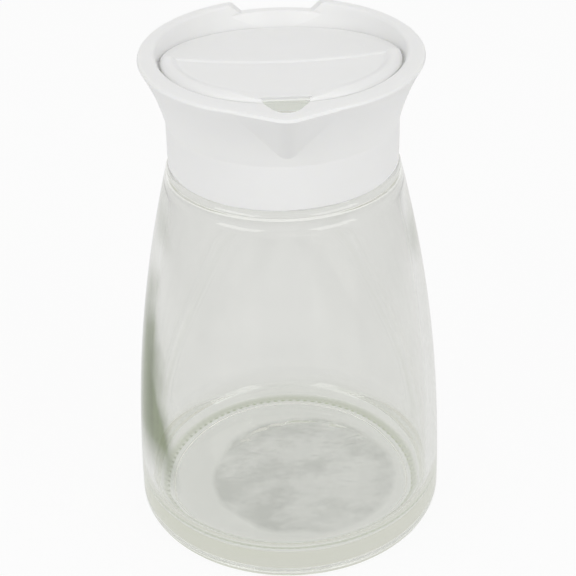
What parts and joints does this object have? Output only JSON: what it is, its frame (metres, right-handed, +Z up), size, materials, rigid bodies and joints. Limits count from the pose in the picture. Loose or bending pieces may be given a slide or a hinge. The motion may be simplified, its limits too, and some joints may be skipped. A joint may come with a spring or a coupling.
{
  "type": "sugar dispenser",
  "caption": "Squat round glass jar that narrows to a neck, with a white screw-on collar, pouring beak, thumb notch and a rocker flap that tips up to pour.",
  "frame": {"origin": "on the axis of the jar at the bottom of the ring it stands on", "axes": "+Z up along the axis of the jar, +Y from the pouring beak towards the thumb notch, +X to the right seen from the beak's side"},
  "size_m": [0.0776, 0.0776, 0.126],
  "materials": {
    "jar_glass": "clear smooth soda-lime glass with a faint green cast in its thick parts",
    "white_plastic": "white moulded polypropylene, soft satin gloss"
  },
  "bodies": {
    "base": {"glass_jar": "jar_glass", "lid_collar": "white_plastic"},
    "flap": {"lid_flap": "white_plastic"}
  },
  "joints": [
    {"name": "flap_hinge", "type": "hinge", "parent": "base", "child": "flap", "pos_m": [0, 0.0015, 0.121], "axis": [-1, 0, 0], "range_deg": [0, 16]}
  ]
}
